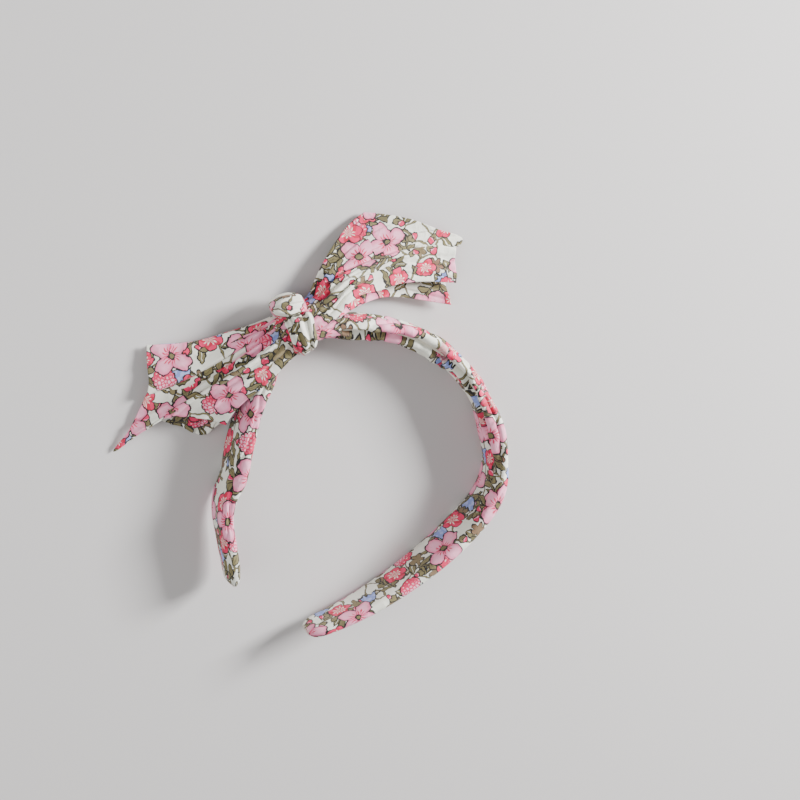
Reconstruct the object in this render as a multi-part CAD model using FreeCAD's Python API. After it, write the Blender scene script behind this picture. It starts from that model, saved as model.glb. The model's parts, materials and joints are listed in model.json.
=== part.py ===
# Knotted fabric headband, lying on its side.
# Millimetres. +Z up from the table, +Y out through the crown, +X towards the right leg.
# The origin is under the middle of the crown, on the plane that the band lies on.
import FreeCAD, Part
import math
import os

V = FreeCAD.Vector

# Hoop: three arcs each side of the crown, measured along the middle of the band
crown_radius = 72.0
crown_half_angle = 50.0
shoulder_radius = 34.0
shoulder_angle = 49.0
leg_radius = 182.0
leg_angle = 31.0
band_thickness = 8.2

# Sleeve: how wide the band is, seen from the side
crown_width = 21.0
leg_width = 26.0
tip_width = 13.0
tip_lift = 5.0
fabric_wall = 0.8
sleeve_edge_round = 2.0
shortest_rounded_edge = 12.0
steepest_rounded_edge = 0.3

# Where the width changes, as shares of the hoop's height down from the crown
crown_share = 0.15
widening_share = 0.35
widest_share = 0.52
narrowing_share = 0.75
table_share = 0.7
widening_step = 1.0
narrowing_step = 3.0
margin_front = 20.0
margin_back = 10.0

# Springy plastic strip inside the padding
core_thickness = 2.0
core_width = 13.5
core_tip_width = 9.0
core_lift = 4.0
core_short_of_tip = 4.0

# Where the one-piece hoop is parted for its bending joint
flex_x = 2.0

# Knot, tied round the left shoulder of the band
knot_angle = 53.5
wrap_length = 10.0
wrap_inside = 6.5
wrap_outside = 7.5
wrap_height = 23.5
neck_thickness = 6.4
neck_low = 1.6
neck_high = 20.6
neck_block = 40.0
wrap_round = 1.8
loop_length = 14.0
loop_outside = 20.0
loop_low = 3.0
loop_high = 21.0
loop_round = 4.5
crossing_length = 16.0
crossing_thickness = 4.0
crossing_low = 5.5
crossing_high = 18.5

# Tails: two layers of fabric each, fanning out from the knot
tail_layer = 0.8
tail_root_height = 12.0
tail_root_out = 9.5
tail_root_gap = 2.0
tail_root_half = 3.5

# Each tail's outline in its own plan: distance from the root, and distance to the left of its line
upper_tail = {
    "heading": 53.0,
    "drop": 0.113,
    "lean": -0.188,
    "face": [(37, 31), (79, 2), (66, -16)],
    "backing": [(35, 29), (74, 4), (67, -22)],
}
lower_tail = {
    "heading": 243.0,
    "drop": 0.107,
    "lean": 0.204,
    "face": [(53, -21), (90, 12), (43, 21)],
    "backing": [(51, -18), (82, 10), (50, 21)],
}

# Hand stitches
thread = 0.5
stitch_length = 2.4
stitch_pitch = 2.6
tack_pitch = 3.9
tip_stitch_inset = 3.0
stitch_sink = 0.3

# Half the size of the working space round the object
reach = 200.0


def arc_centres(side):
    """Centres of the crown, shoulder and leg arcs on one side (-1 left, +1 right)."""
    crown = V(0, -crown_radius, 0)
    shoulder = crown + along(side, crown_half_angle) * (crown_radius - shoulder_radius)
    turn = crown_half_angle + shoulder_angle
    leg = shoulder + along(side, turn) * (shoulder_radius - leg_radius)
    return crown, shoulder, leg


def along(side, angle):
    """Unit direction at an angle from +Y, turned towards one side."""
    a = math.radians(angle)
    return V(side * math.sin(a), math.cos(a), 0)


def arc(centre, radius, side, start, end):
    points = [centre + along(side, a) * radius for a in (start, (start + end) / 2, end)]
    return Part.Arc(*points).toShape()


def tip_angle(short):
    return crown_half_angle + shoulder_angle + leg_angle - math.degrees(short / leg_radius)


def side_edges(offset, side, short):
    """The three arcs of one side, moved outward by offset and stopped short of the tip."""
    crown, shoulder, leg = arc_centres(side)
    turn = crown_half_angle + shoulder_angle
    return [
        arc(crown, crown_radius + offset, side, 0, crown_half_angle),
        arc(shoulder, shoulder_radius + offset, side, crown_half_angle, turn),
        arc(leg, leg_radius + offset, side, turn, tip_angle(short)),
    ]


def tip_line(half, side, short):
    leg = arc_centres(side)[2]
    direction = along(side, tip_angle(short))
    inner = leg + direction * (leg_radius - half)
    outer = leg + direction * (leg_radius + half)
    return Part.makeLine(inner, outer)


def hoop_prism(half, short):
    """The band's plan outline, raised far above and below the table."""
    edges = []
    for side in (-1, 1):
        edges += side_edges(half, side, short)
        edges += side_edges(-half, side, short)
        edges.append(tip_line(half, side, short))
    wire = Part.Wire(Part.__sortEdges__(edges))
    prism = Part.Face(wire).extrude(V(0, 0, 2 * reach))
    prism.translate(V(0, 0, -reach))
    return prism


def side_profile(low, high):
    """A slab as wide as the object, between two curves of height against distance down the legs."""
    lower = Part.BSplineCurve()
    lower.interpolate([V(-reach, y, z) for y, z in low])
    upper = Part.BSplineCurve()
    upper.interpolate([V(-reach, y, z) for y, z in high])
    edges = [lower.toShape(), upper.toShape()]
    edges.append(Part.makeLine(V(-reach, *low[0]), V(-reach, *high[0])))
    edges.append(Part.makeLine(V(-reach, *low[-1]), V(-reach, *high[-1])))
    wire = Part.Wire(Part.__sortEdges__(edges))
    return Part.Face(wire).extrude(V(2 * reach, 0, 0))


def band_profile(inset):
    """Side view of the sleeve: flat underneath, widest half-way down the legs."""
    hoop_height = crown_radius * 2
    flat_end = -table_share * hoop_height
    front = margin_front
    end = -hoop_height - margin_back
    low_end = tip_lift + inset
    table = Part.makeBox(2 * reach, front - flat_end, reach, V(-reach, flat_end, inset))
    high = [
        (front, crown_width - inset),
        (-crown_share * hoop_height, crown_width - inset),
        (-widening_share * hoop_height, leg_width - widening_step - inset),
        (-widest_share * hoop_height, leg_width - inset),
        (-narrowing_share * hoop_height, leg_width - narrowing_step - inset),
        (end, tip_lift + tip_width - inset),
    ]
    body = side_profile([(flat_end, inset), (end, low_end)], [(flat_end, reach), (end, reach)])
    return table.fuse(body).removeSplitter().common(side_profile([(front, -reach), (end, -reach)], high))


def core_profile():
    hoop_height = crown_radius * 2
    taper_start = -table_share * hoop_height
    end = -hoop_height - margin_back
    lift = (core_width - core_tip_width) / 2
    points = [
        (margin_front, core_lift),
        (taper_start, core_lift),
        (end, core_lift + lift),
        (end, core_lift + core_width - lift),
        (taper_start, core_lift + core_width),
        (margin_front, core_lift + core_width),
        (margin_front, core_lift),
    ]
    wire = Part.makePolygon([V(-reach, y, z) for y, z in points])
    return Part.Face(wire).extrude(V(2 * reach, 0, 0))


def at_knot(shape):
    """Turn a shape made at the crown to the knot's place on the left shoulder."""
    shape.rotate(V(0, -crown_radius, 0), V(0, 0, 1), knot_angle)
    return shape


def neck_ring(inset):
    """What the knot squeezes out of the band, so that it sits in a waist."""
    length = wrap_length + 2 * inset
    block = Part.makeBox(length, neck_block, 2 * reach, V(-length / 2, -neck_block / 2, -reach))
    half = neck_thickness / 2 - inset
    low = neck_low + inset
    high = neck_high - inset
    neck = Part.makeBox(length, 2 * half, high - low, V(-length / 2, -half, low))
    return at_knot(block.cut(neck))


def rounded_box(size, corner, radius):
    box = Part.makeBox(size[0], size[1], size[2], corner)
    return box.makeFillet(radius, box.Edges)


def long_edges(shape):
    """Edges that run along the band: the ones to be rounded."""
    level = [e for e in shape.Edges if e.BoundBox.ZLength < e.Length * steepest_rounded_edge]
    return [e for e in level if e.Length > shortest_rounded_edge]


def sleeve_outer():
    body = hoop_prism(band_thickness / 2, 0.0).common(band_profile(0.0)).removeSplitter()
    try:
        body = body.makeFillet(sleeve_edge_round, long_edges(body))
    except Part.OCCError:
        print("sleeve edges left square")
    return body.cut(neck_ring(0.0))


def padding_outer():
    inner = hoop_prism(band_thickness / 2 - fabric_wall, fabric_wall)
    return inner.common(band_profile(fabric_wall)).cut(neck_ring(fabric_wall))


def core_strip():
    return hoop_prism(core_thickness / 2, core_short_of_tip).common(core_profile())


def half_space(side):
    start = -reach if side < 0 else flex_x
    width = reach + flex_x if side < 0 else reach - flex_x
    return Part.makeBox(width, 2 * reach, 2 * reach, V(start, -reach, -reach))


def single(shape):
    """The one solid in a boolean's result."""
    solids = sorted(shape.Solids, key=lambda s: s.Volume)
    return solids[-1]


def knot_wrap(outer):
    """The strip's turn round the band, from table level to above the crown's edge."""
    size = (wrap_length, wrap_inside + wrap_outside, wrap_height)
    block = rounded_box(size, V(-wrap_length / 2, -wrap_inside, 0), wrap_round)
    return single(at_knot(block).cut(outer))


def knot_crossing():
    """The hidden turn inside the knot, from which both tails leave."""
    size = (crossing_length, crossing_thickness, crossing_high - crossing_low)
    corner = V(-crossing_length / 2, wrap_outside, crossing_low)
    return at_knot(Part.makeBox(size[0], size[1], size[2], corner))


def knot_loop():
    """The round turn over the crossing."""
    size = (loop_length, loop_outside - wrap_outside, loop_high - loop_low)
    block = rounded_box(size, V(-loop_length / 2, wrap_outside, loop_low), loop_round)
    return single(at_knot(block).cut(knot_crossing()))


def tack_stitches(wrap):
    """Threads that hold the wrap to the band, on the side towards the head."""
    bars = []
    for i in (-1, 0, 1):
        z = wrap_height / 2 + i * tack_pitch
        corner = V(-stitch_length / 2, -wrap_inside - thread, z)
        bars.append(at_knot(Part.makeBox(stitch_length, thread, thread, corner)).cut(wrap))
    return Part.makeCompound([single(b) for b in bars])


def tip_stitches(side, outer):
    """Threads that close the sleeve's folded end, on the side towards the head."""
    leg = arc_centres(side)[2]
    angle = tip_angle(tip_stitch_inset)
    inward = along(side, angle) * -1
    face = leg + inward * (band_thickness / 2 - leg_radius)
    bars = []
    for i in (-1, 0, 1):
        corner = V(-stitch_length / 2, -stitch_sink, -thread / 2)
        bar = Part.makeBox(stitch_length, thread + stitch_sink, thread, corner)
        bar.rotate(V(0, 0, 0), V(0, 0, 1), math.degrees(math.atan2(inward.y, inward.x)) - 90)
        bar.translate(face + V(0, 0, tip_lift + tip_width / 2 + i * stitch_pitch))
        bars.append(single(bar.cut(outer)))
    return Part.makeCompound(bars)


def tail_root(towards):
    """Where a tail leaves the knot: +1 towards the crown, -1 towards the leg."""
    x = towards * (crossing_length / 2 + tail_root_gap)
    point = Part.Vertex(x, tail_root_out, tail_root_height)
    return at_knot(point).Point


def tail_point(root, tail, u, v):
    a = math.radians(tail["heading"])
    x = u * math.cos(a) - v * math.sin(a)
    y = u * math.sin(a) + v * math.cos(a)
    return root + V(x, y, -tail["drop"] * u + tail["lean"] * v)


def tail_piece(root, tail, layer, above):
    """One fabric layer of a tail; above is +1 for the upper layer, -1 for the lower one."""
    outline = [(0, -tail_root_half), (0, tail_root_half)] + tail[layer]
    if tail["face"][0][1] < 0:
        outline[0], outline[1] = outline[1], outline[0]
    points = [tail_point(root, tail, u, v) for u, v in outline]
    face = Part.Face(Part.makePolygon(points + [points[0]]))
    normal = face.normalAt(0, 0)
    if normal.z < 0:
        normal = normal * -1
    return face.extrude(normal * tail_layer * above)


def main():
    os.makedirs("parts", exist_ok=True)
    outer = sleeve_outer()
    padding = padding_outer()
    core = core_strip()
    sleeve = outer.cut(padding)
    wadding = padding.cut(core)
    nodes = {}
    for side, name in ((-1, "left"), (1, "right")):
        half = half_space(side)
        nodes["core_" + name] = single(core.common(half))
        nodes["wadding_" + name] = single(wadding.common(half))
        nodes["sleeve_" + name] = single(sleeve.common(half))
        nodes["tip_stitches_" + name] = tip_stitches(side, outer)
    nodes["knot_wrap"] = knot_wrap(outer)
    nodes["knot_crossing"] = knot_crossing()
    nodes["knot_loop"] = knot_loop()
    nodes["knot_tack_stitches"] = tack_stitches(nodes["knot_wrap"])
    for name, tail, towards in (("upper", upper_tail, 1), ("lower", lower_tail, -1)):
        root = tail_root(towards)
        print(name, "tail root", [round(c, 2) for c in root])
        nodes[name + "_tail_face"] = tail_piece(root, tail, "face", 1)
        nodes[name + "_tail_backing"] = tail_piece(root, tail, "backing", -1)
    for name, shape in nodes.items():
        box = shape.BoundBox
        size = [round(v, 1) for v in (box.XMin, box.XMax, box.YMin, box.YMax, box.ZMin, box.ZMax)]
        print(name, "solids", len(shape.Solids), "volume", round(shape.Volume, 1), "box", size, shape.isValid())
        shape.exportStep("parts/" + name + ".step")


main()
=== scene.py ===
import json
import math
import random

import bpy
import numpy as np
from mathutils import Matrix, Vector


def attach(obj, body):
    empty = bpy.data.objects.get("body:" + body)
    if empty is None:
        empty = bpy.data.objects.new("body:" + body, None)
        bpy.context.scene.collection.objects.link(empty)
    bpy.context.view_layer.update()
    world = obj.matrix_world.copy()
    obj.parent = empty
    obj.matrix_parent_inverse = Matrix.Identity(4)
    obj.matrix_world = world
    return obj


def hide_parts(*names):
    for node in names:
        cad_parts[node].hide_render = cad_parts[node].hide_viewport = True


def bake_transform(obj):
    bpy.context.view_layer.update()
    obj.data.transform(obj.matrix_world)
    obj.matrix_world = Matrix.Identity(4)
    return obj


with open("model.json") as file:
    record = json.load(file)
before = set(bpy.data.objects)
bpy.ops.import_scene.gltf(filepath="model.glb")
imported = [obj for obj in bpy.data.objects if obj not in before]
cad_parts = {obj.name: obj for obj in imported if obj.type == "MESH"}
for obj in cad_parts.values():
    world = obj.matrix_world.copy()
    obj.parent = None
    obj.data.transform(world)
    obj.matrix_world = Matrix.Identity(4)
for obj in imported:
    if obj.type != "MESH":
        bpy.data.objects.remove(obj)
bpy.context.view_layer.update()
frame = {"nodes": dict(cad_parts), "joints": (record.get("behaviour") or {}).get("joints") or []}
print("frame loaded:", len(frame["nodes"]), "nodes")

mm = 0.001  # every size below is in millimetres, and becomes metres here

# The hoop's line, the same three arcs a side as the frame: radii in mm, turns in degrees
hoop = {
    "crownRadius": 72.0, "crownTurn": 50.0,
    "shoulderRadius": 34.0, "shoulderTurn": 49.0,
    "legRadius": 182.0, "legTurn": 31.0,
}
crownLength = hoop["crownRadius"] * math.radians(hoop["crownTurn"])
shoulderLength = hoop["shoulderRadius"] * math.radians(hoop["shoulderTurn"])
legLength = hoop["legRadius"] * math.radians(hoop["legTurn"])
halfLength = crownLength + shoulderLength + legLength

knot = {"turn": 53.5}  # where the strip is tied, in degrees from the crown


def smoothCurve(x, points):  # a smooth line through a few (place, value) points
    places, values = np.array(points, float).T
    slope = np.gradient(values, places)
    i = np.clip(np.searchsorted(places, x) - 1, 0, len(places) - 2)
    width = places[i + 1] - places[i]
    t = np.clip((x - places[i]) / width, 0, 1)
    start = (2 * t**3 - 3 * t**2 + 1) * values[i] + (t**3 - 2 * t**2 + t) * width * slope[i]
    end = (3 * t**2 - 2 * t**3) * values[i + 1] + (t**3 - t**2) * width * slope[i + 1]
    return start + end


def smoothStep(x, low, high):
    t = np.clip((x - low) / (high - low), 0, 1)
    return t * t * (3 - 2 * t)


def hoopLine(s):  # place and heading at a distance from the crown, minus towards the knot
    side = np.where(s < 0, -1.0, 1.0)
    d = np.abs(s)
    crownEnd = math.radians(hoop["crownTurn"])
    shoulderEnd = crownEnd + math.radians(hoop["shoulderTurn"])

    def byArc(crown, shoulder, leg):
        return np.where(d < crownLength, crown, np.where(d < crownLength + shoulderLength, shoulder, leg))
    turn = byArc(d / hoop["crownRadius"], crownEnd + (d - crownLength) / hoop["shoulderRadius"],
                 shoulderEnd + (d - crownLength - shoulderLength) / hoop["legRadius"])
    crownCentre = np.array([0.0, -hoop["crownRadius"]])
    shoulderCentre = crownCentre + (hoop["crownRadius"] - hoop["shoulderRadius"]) * np.array(
        [math.sin(crownEnd), math.cos(crownEnd)])
    legCentre = shoulderCentre + (hoop["shoulderRadius"] - hoop["legRadius"]) * np.array(
        [math.sin(shoulderEnd), math.cos(shoulderEnd)])
    radius = byArc(hoop["crownRadius"], hoop["shoulderRadius"], hoop["legRadius"])
    x = side * (byArc(crownCentre[0], shoulderCentre[0], legCentre[0]) + radius * np.sin(turn))
    y = byArc(crownCentre[1], shoulderCentre[1], legCentre[1]) + radius * np.cos(turn)
    return x, y, side * turn


def atKnot(along, out, up):  # along is towards the crown, out is away from the head
    turn = math.radians(knot["turn"])
    right = np.array([math.cos(turn), math.sin(turn)])
    outward = np.array([-math.sin(turn), math.cos(turn)])
    base = np.array([-hoop["crownRadius"] * math.sin(turn), -hoop["crownRadius"] * (1 - math.cos(turn))])
    along, out, up = np.broadcast_arrays(along, out, up)
    plan = base + along[..., None] * right + out[..., None] * outward
    return np.concatenate([plan, up[..., None]], axis=-1)


# meshes from primitives

def clearSelection():
    if bpy.context.object and bpy.context.object.mode != "OBJECT":
        bpy.ops.object.mode_set(mode="OBJECT")
    bpy.ops.object.select_all(action="DESELECT")


def pick(piece):
    clearSelection()
    piece.select_set(True)
    bpy.context.view_layer.objects.active = piece


def inEditMode(piece, *steps):
    pick(piece)
    bpy.ops.object.mode_set(mode="EDIT")
    bpy.ops.mesh.select_all(action="SELECT")
    for step in steps:
        step()
    bpy.ops.object.mode_set(mode="OBJECT")


def clothGrid(name, along, across, place, cutAt=(0, 0)):
    # a grid put in place by a function of (0..1, 0..1), whose UV is its flat size, from a place on the print
    clearSelection()
    bpy.ops.mesh.primitive_grid_add(x_subdivisions=along, y_subdivisions=across, size=1)
    piece = bpy.context.object
    piece.name = piece.data.name = name
    mesh = piece.data
    corners = np.empty(len(mesh.vertices) * 3)
    mesh.vertices.foreach_get("co", corners)
    corners = corners.reshape(-1, 3) + 0.5
    points, u, v = place(corners[:, 0], corners[:, 1])
    mesh.vertices.foreach_set("co", (points * mm).ravel())
    owners = np.empty(len(mesh.loops), dtype=np.int32)
    mesh.loops.foreach_get("vertex_index", owners)
    layer = mesh.uv_layers.active
    layer.name = "cloth"
    flat = np.stack([u + cutAt[0], v + cutAt[1]], axis=1)
    layer.data.foreach_set("uv", (flat[owners] * mm).ravel())
    mesh.update()
    return piece


def closeSeam(piece, gap=0.02):
    inEditMode(
        piece,
        lambda: bpy.ops.mesh.remove_doubles(threshold=gap * mm),
        lambda: bpy.ops.mesh.normals_make_consistent(inside=False),
    )


def layPrint(piece, shift):
    # flatten the cloth onto the print, at its true size
    inEditMode(piece, lambda: bpy.ops.uv.unwrap(method="ANGLE_BASED", margin=0))
    mesh = piece.data
    layer = mesh.uv_layers.active.data
    flat = np.empty(len(layer) * 2)
    layer.foreach_get("uv", flat)
    flat = flat.reshape(-1, 4, 2)
    one, two = flat[:, 2] - flat[:, 0], flat[:, 3] - flat[:, 1]
    wholeFlat = np.abs(one[:, 0] * two[:, 1] - one[:, 1] * two[:, 0]).sum() / 2
    size = math.sqrt(sum(face.area for face in mesh.polygons) / wholeFlat)
    layer.foreach_set("uv", (flat.reshape(-1, 2) * size + np.array(shift) * mm).ravel())


def applyModifier(piece, kind, **settings):
    pick(piece)
    modifier = piece.modifiers.new(kind.title(), kind)
    for key, value in settings.items():
        setattr(modifier, key, value)
    bpy.ops.object.modifier_apply(modifier=modifier.name)


def giveMaterial(piece, material):
    piece.data.materials.clear()
    piece.data.materials.append(material)


def finishPiece(piece, material):
    pick(piece)
    bpy.ops.object.shade_smooth()
    giveMaterial(piece, material)
    return piece


# shader maths

class Num:  # a number in a shader; arithmetic on it adds Math nodes
    def __init__(self, shader, socket):
        self.shader = shader
        self.socket = socket

    def __add__(self, other):
        return self.shader.math("ADD", self, other)

    def __sub__(self, other):
        return self.shader.math("SUBTRACT", self, other)

    def __rsub__(self, other):
        return self.shader.math("SUBTRACT", other, self)

    def __mul__(self, other):
        return self.shader.math("MULTIPLY", self, other)

    def __truediv__(self, other):
        return self.shader.math("DIVIDE", self, other)

    def __pow__(self, other):
        return self.shader.math("POWER", self, other)

    __radd__ = __add__
    __rmul__ = __mul__


class Shader:
    def __init__(self, name):
        self.material = bpy.data.materials.new(name)
        self.material.use_nodes = True
        self.tree = self.material.node_tree
        self.principled = self.tree.nodes["Principled BSDF"]

    def node(self, kind, settings=None, **inputs):
        made = self.tree.nodes.new(kind)
        for key, value in (settings or {}).items():
            setattr(made, key, value)
        for key, value in inputs.items():
            self.feed(made.inputs[int(key[1:]) if key[1:].isdigit() else key], value)
        return made

    def feed(self, socket, value):
        if isinstance(value, Num):
            value = value.socket
        if isinstance(value, bpy.types.NodeSocket):
            self.tree.links.new(value, socket)
        else:
            socket.default_value = value

    def surface(self, values):
        for key, value in values.items():
            self.feed(self.principled.inputs[key], value)

    def operate(self, kind, operation, values):
        inputs = {"i" + str(i): v for i, v in enumerate(values)}
        return self.node(kind, {"operation": operation}, **inputs).outputs[0]

    def math(self, operation, *values):
        return Num(self, self.operate("ShaderNodeMath", operation, values))

    def vector(self, operation, *values):
        return self.operate("ShaderNodeVectorMath", operation, values)

    def scaled(self, vector, factor):
        return self.node("ShaderNodeVectorMath", {"operation": "SCALE"}, i0=vector, i3=factor).outputs[0]

    def parts(self, vector):
        return [Num(self, out) for out in self.node("ShaderNodeSeparateXYZ", None, i0=vector).outputs]

    def below(self, value, edge, soft):  # 1 under the edge, 0 over it
        span = self.node("ShaderNodeMapRange", {"interpolation_type": "SMOOTHSTEP"}, i0=value)
        self.feed(span.inputs[1], edge - soft / 2)
        self.feed(span.inputs[2], edge + soft / 2)
        span.inputs[3].default_value = 1.0
        span.inputs[4].default_value = 0.0
        return Num(self, span.outputs[0])

    def mix(self, factor, under, over):
        made = self.node("ShaderNodeMix", {"data_type": "RGBA"})
        self.feed(made.inputs[0], factor)
        self.feed(made.inputs[6], under)
        self.feed(made.inputs[7], over)
        return made.outputs[2]

    def noise(self, vector, scale, detail=1.0):
        made = self.node("ShaderNodeTexNoise", {"noise_dimensions": "2D"},
                         Vector=vector, Scale=scale, Detail=detail)
        return Num(self, made.outputs[0]), made.outputs[1]


def paint(red, green, blue):  # a screen colour, 0 to 255, as the shader wants it
    def linear(c):
        c = c / 255
        return c / 12.92 if c <= 0.04045 else ((c + 0.055) / 1.055) ** 2.4
    return (linear(red), linear(green), linear(blue), 1.0)


# the printed cotton: its colours, sizes in mm and relief

printStyle = {
    "ground": paint(246, 244, 230), "groundShade": paint(236, 238, 226),
    "blush": paint(250, 172, 200), "blushDeep": paint(240, 120, 162), "streak": paint(216, 24, 80),
    "coral": paint(234, 38, 96), "coralDeep": paint(204, 12, 62), "olive": paint(126, 116, 76),
    "oliveDark": paint(98, 90, 54), "blue": paint(132, 150, 216), "bluePale": paint(186, 198, 238),
    "outline": paint(12, 5, 9), "heart": paint(112, 104, 62), "brown": paint(132, 92, 72),
    "outlineWidth": 0.60, "soft": 0.10, "wobble": 2.4, "fineWobble": 0.55, "faded": 0.04,
    "threadPitch": 0.36, "threadHeight": 0.05, "slubHeight": 0.06, "crumpleHeight": 1.1, "ridgeDepth": 1.3,
}


class Print(Shader):
    # the flowers are scattered over cells of the cloth, each turned its own way
    def __init__(self, name):
        super().__init__(name)
        uv = self.node("ShaderNodeUVMap", {"uv_map": "cloth"}).outputs[0]
        self.flat = self.scaled(uv, 1 / mm)
        wobble = self.vector("SUBTRACT", self.noise(self.flat, 0.22, 1.0)[1], (0.5, 0.5, 0.5))
        fine = self.vector("SUBTRACT", self.noise(self.flat, 0.85, 1.0)[1], (0.5, 0.5, 0.5))
        drawn = self.vector("ADD", self.flat, self.scaled(wobble, printStyle["wobble"]))
        self.drawn = self.vector("ADD", drawn, self.scaled(fine, printStyle["fineWobble"]))
        self.colour = None

    def scatter(self, cell, jitter, shift, chance):
        place = self.scaled(self.vector("ADD", self.drawn, (shift[0], shift[1], 0)), 1 / cell)
        cells = self.node("ShaderNodeTexVoronoi", {"voronoi_dimensions": "2D"},
                          Vector=place, Scale=1.0, Randomness=jitter)
        local = self.scaled(self.vector("SUBTRACT", place, cells.outputs["Position"]), cell)
        lot = self.parts(cells.outputs["Color"])
        turned = self.node("ShaderNodeVectorRotate", {"rotation_type": "Z_AXIS"},
                           Vector=local, Angle=lot[0] * math.tau).outputs[0]
        x, y, _ = self.parts(turned)
        return x, y, lot, self.below(lot[2], chance, 0.01)

    def cellEdges(self, vector, **settings):  # how far the nearest edge between two cells is
        edges = self.node("ShaderNodeTexVoronoi", {"voronoi_dimensions": "2D", "feature": "DISTANCE_TO_EDGE"},
                          Vector=vector, **settings)
        return Num(self, edges.outputs[0])

    def length(self, x, y):
        return self.math("SQRT", x * x + y * y)

    def size(self, x):
        return self.math("ABSOLUTE", x)

    def mix(self, factor, under, over):  # a colour may be given by its name in printStyle
        under, over = (printStyle[c] if isinstance(c, str) else c for c in (under, over))
        return super().mix(factor, under, over)

    def lay(self, mask, over):
        self.colour = self.mix(mask, self.colour, over)

    def shape(self, distance, fill, present):
        # fill where distance is negative, with a dark line round it
        inside = self.below(distance, 0.0, printStyle["soft"]) * present
        around = self.below(distance, printStyle["outlineWidth"], printStyle["soft"]) * present
        self.lay(around, "outline")
        self.lay(inside, fill)
        return inside

    def leafDistance(self, x, y, start, turn, length, width):
        away = x - start
        along = (away * math.cos(turn) + y * math.sin(turn)) * (2 / length) - 1
        across = self.size(y * math.cos(turn) - away * math.sin(turn))
        return across - (1 - along * along) * (width / 2), along, across

    def blossoms(self, cell, size, shift, chance):
        # four round petals, streaked with deep pink from a small olive heart
        x, y, lot, present = self.scatter(cell, 0.5, shift, chance)
        angle = self.math("ARCTAN2", y, x)
        petal = self.math("FLOORED_MODULO", angle, math.tau / 4) - math.tau / 8
        radius = self.length(x, y)
        along = radius * self.math("COSINE", petal)
        across = radius * self.math("SINE", petal)
        dip = self.below(self.size(across), size * 0.12, size * 0.20) * (size * 0.06)
        oval = self.length((along - size * 0.58) * (1 / 0.46), across * (1 / 0.385))
        edge = (oval - size) * 0.42 + dip
        tone = self.mix(self.below(oval, size * 0.75, size * 0.6), "blushDeep", "blush")
        petals = self.shape(edge, tone, present)
        rays = self.math("COSINE", petal * 15.0 + lot[1] * 3)
        reach = along * (1 / size) - rays * 0.13 + self.size(petal) * 0.25
        ray = self.below(reach, 0.38, 0.16) * self.below(0.1 - rays, 0.0, 0.9)
        self.lay(ray * petals, "streak")
        self.shape(radius - size * 0.13, "heart", present)

    def poppies(self, cell, size, shift, chance):
        # coral flowers seen from the side: a fan of lobes with pale streaks
        x, y, lot, present = self.scatter(cell, 0.6, shift, chance)
        grown = size * (lot[1] * 0.3 + 0.78)
        radius = self.length(x, y * 1.25)
        angle = self.math("ARCTAN2", y * 1.25, x)
        lobes = self.size(self.math("SINE", angle * 2.5 + 0.6)) ** 0.55
        bloom = self.shape(radius - grown * (lobes * 0.34 + 0.68), "coral", present)
        fold = self.math("SINE", angle * 5.0 + radius * 1.1)
        self.lay(self.below(fold, -0.30, 0.5) * bloom, "coralDeep")
        share = radius / grown
        spark = self.math("SINE", angle * 9.0 + share * 5.0) * 0.20
        self.lay(self.below(share + spark, 0.38, 0.12) * bloom, "ground")
        self.lay(self.below(share + spark, 0.20, 0.10) * bloom, "coralDeep")
        vein = self.below(self.size(lobes - 0.30), 0.05, 0.05)
        self.lay(vein * bloom * self.below(0.35 - share, 0.0, 0.1), "outline")

    def clovers(self, cell, size, shift, chance):
        # round heads of many small florets, deeper pink towards the stalk
        x, y, _, present = self.scatter(cell, 0.6, shift, chance)
        angle = self.math("ARCTAN2", y, x)
        frill = self.size(self.math("SINE", angle * 6.0)) ** 0.6
        edge = self.length(x, y) - (frill * 0.16 + 0.86) * size
        tone = self.mix(self.below(y, -0.1 * size, size), "blush", "coral")
        head = self.shape(edge, tone, present)
        rim = self.cellEdges(self.flat, Scale=0.62)
        self.lay(self.below(rim, 0.13, 0.06) * head, "streak")
        self.lay(self.below(0.40 - rim, 0.0, 0.10) * head, "ground")

    def bells(self, cell, size, shift, chance):
        # blue cups with a frilled lip
        x, y, _, present = self.scatter(cell, 0.6, shift, chance)
        lip = self.size(self.math("SINE", x * (6.0 / size))) * 0.20
        sides = self.size(x) - (0.62 - y * (0.38 / size)) * size
        ends = self.size(y + 0.1 * size) - (0.80 - lip) * size
        bell = self.shape(self.math("MAXIMUM", sides, ends), "blue", present)
        pale = self.below(self.noise(self.flat, 0.45)[0], 0.46, 0.2)
        self.lay(pale * bell * 0.7, "bluePale")

    def buds(self, cell, size, shift, chance):
        # round coral buds, each in a small olive cup
        x, y, lot, present = self.scatter(cell, 0.8, shift, chance)
        edge = self.length(x, y * 1.35) - (lot[1] * 0.5 + 0.65) * size
        bud = self.shape(edge, "coral", present)
        self.lay(self.below(self.size(x + 0.2), 0.28, 0.2) * bud, "blush")
        cup, _, _ = self.leafDistance(x, self.size(y), -size * 1.5, 0.5, size * 1.5, size * 0.7)
        self.shape(cup, "olive", present)

    def leaves(self, cell, length, width, shift, chance):
        # toothed leaves with a pale vein
        x, y, lot, present = self.scatter(cell, 0.85, shift, chance)
        body, along, across = self.leafDistance(x, y, -length / 2, 0.0, length, width)
        teeth = self.math("SINE", along * 9.0) * 0.14
        tone = self.mix(lot[1], "olive", "oliveDark")
        leaf = self.shape(body + teeth, tone, present)
        vein = self.below(across, 0.16, 0.12) * leaf * self.below(self.size(along), 0.7, 0.1)
        self.lay(vein, "groundShade")

    def sprigs(self, cell, size, shift, chance):
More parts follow.
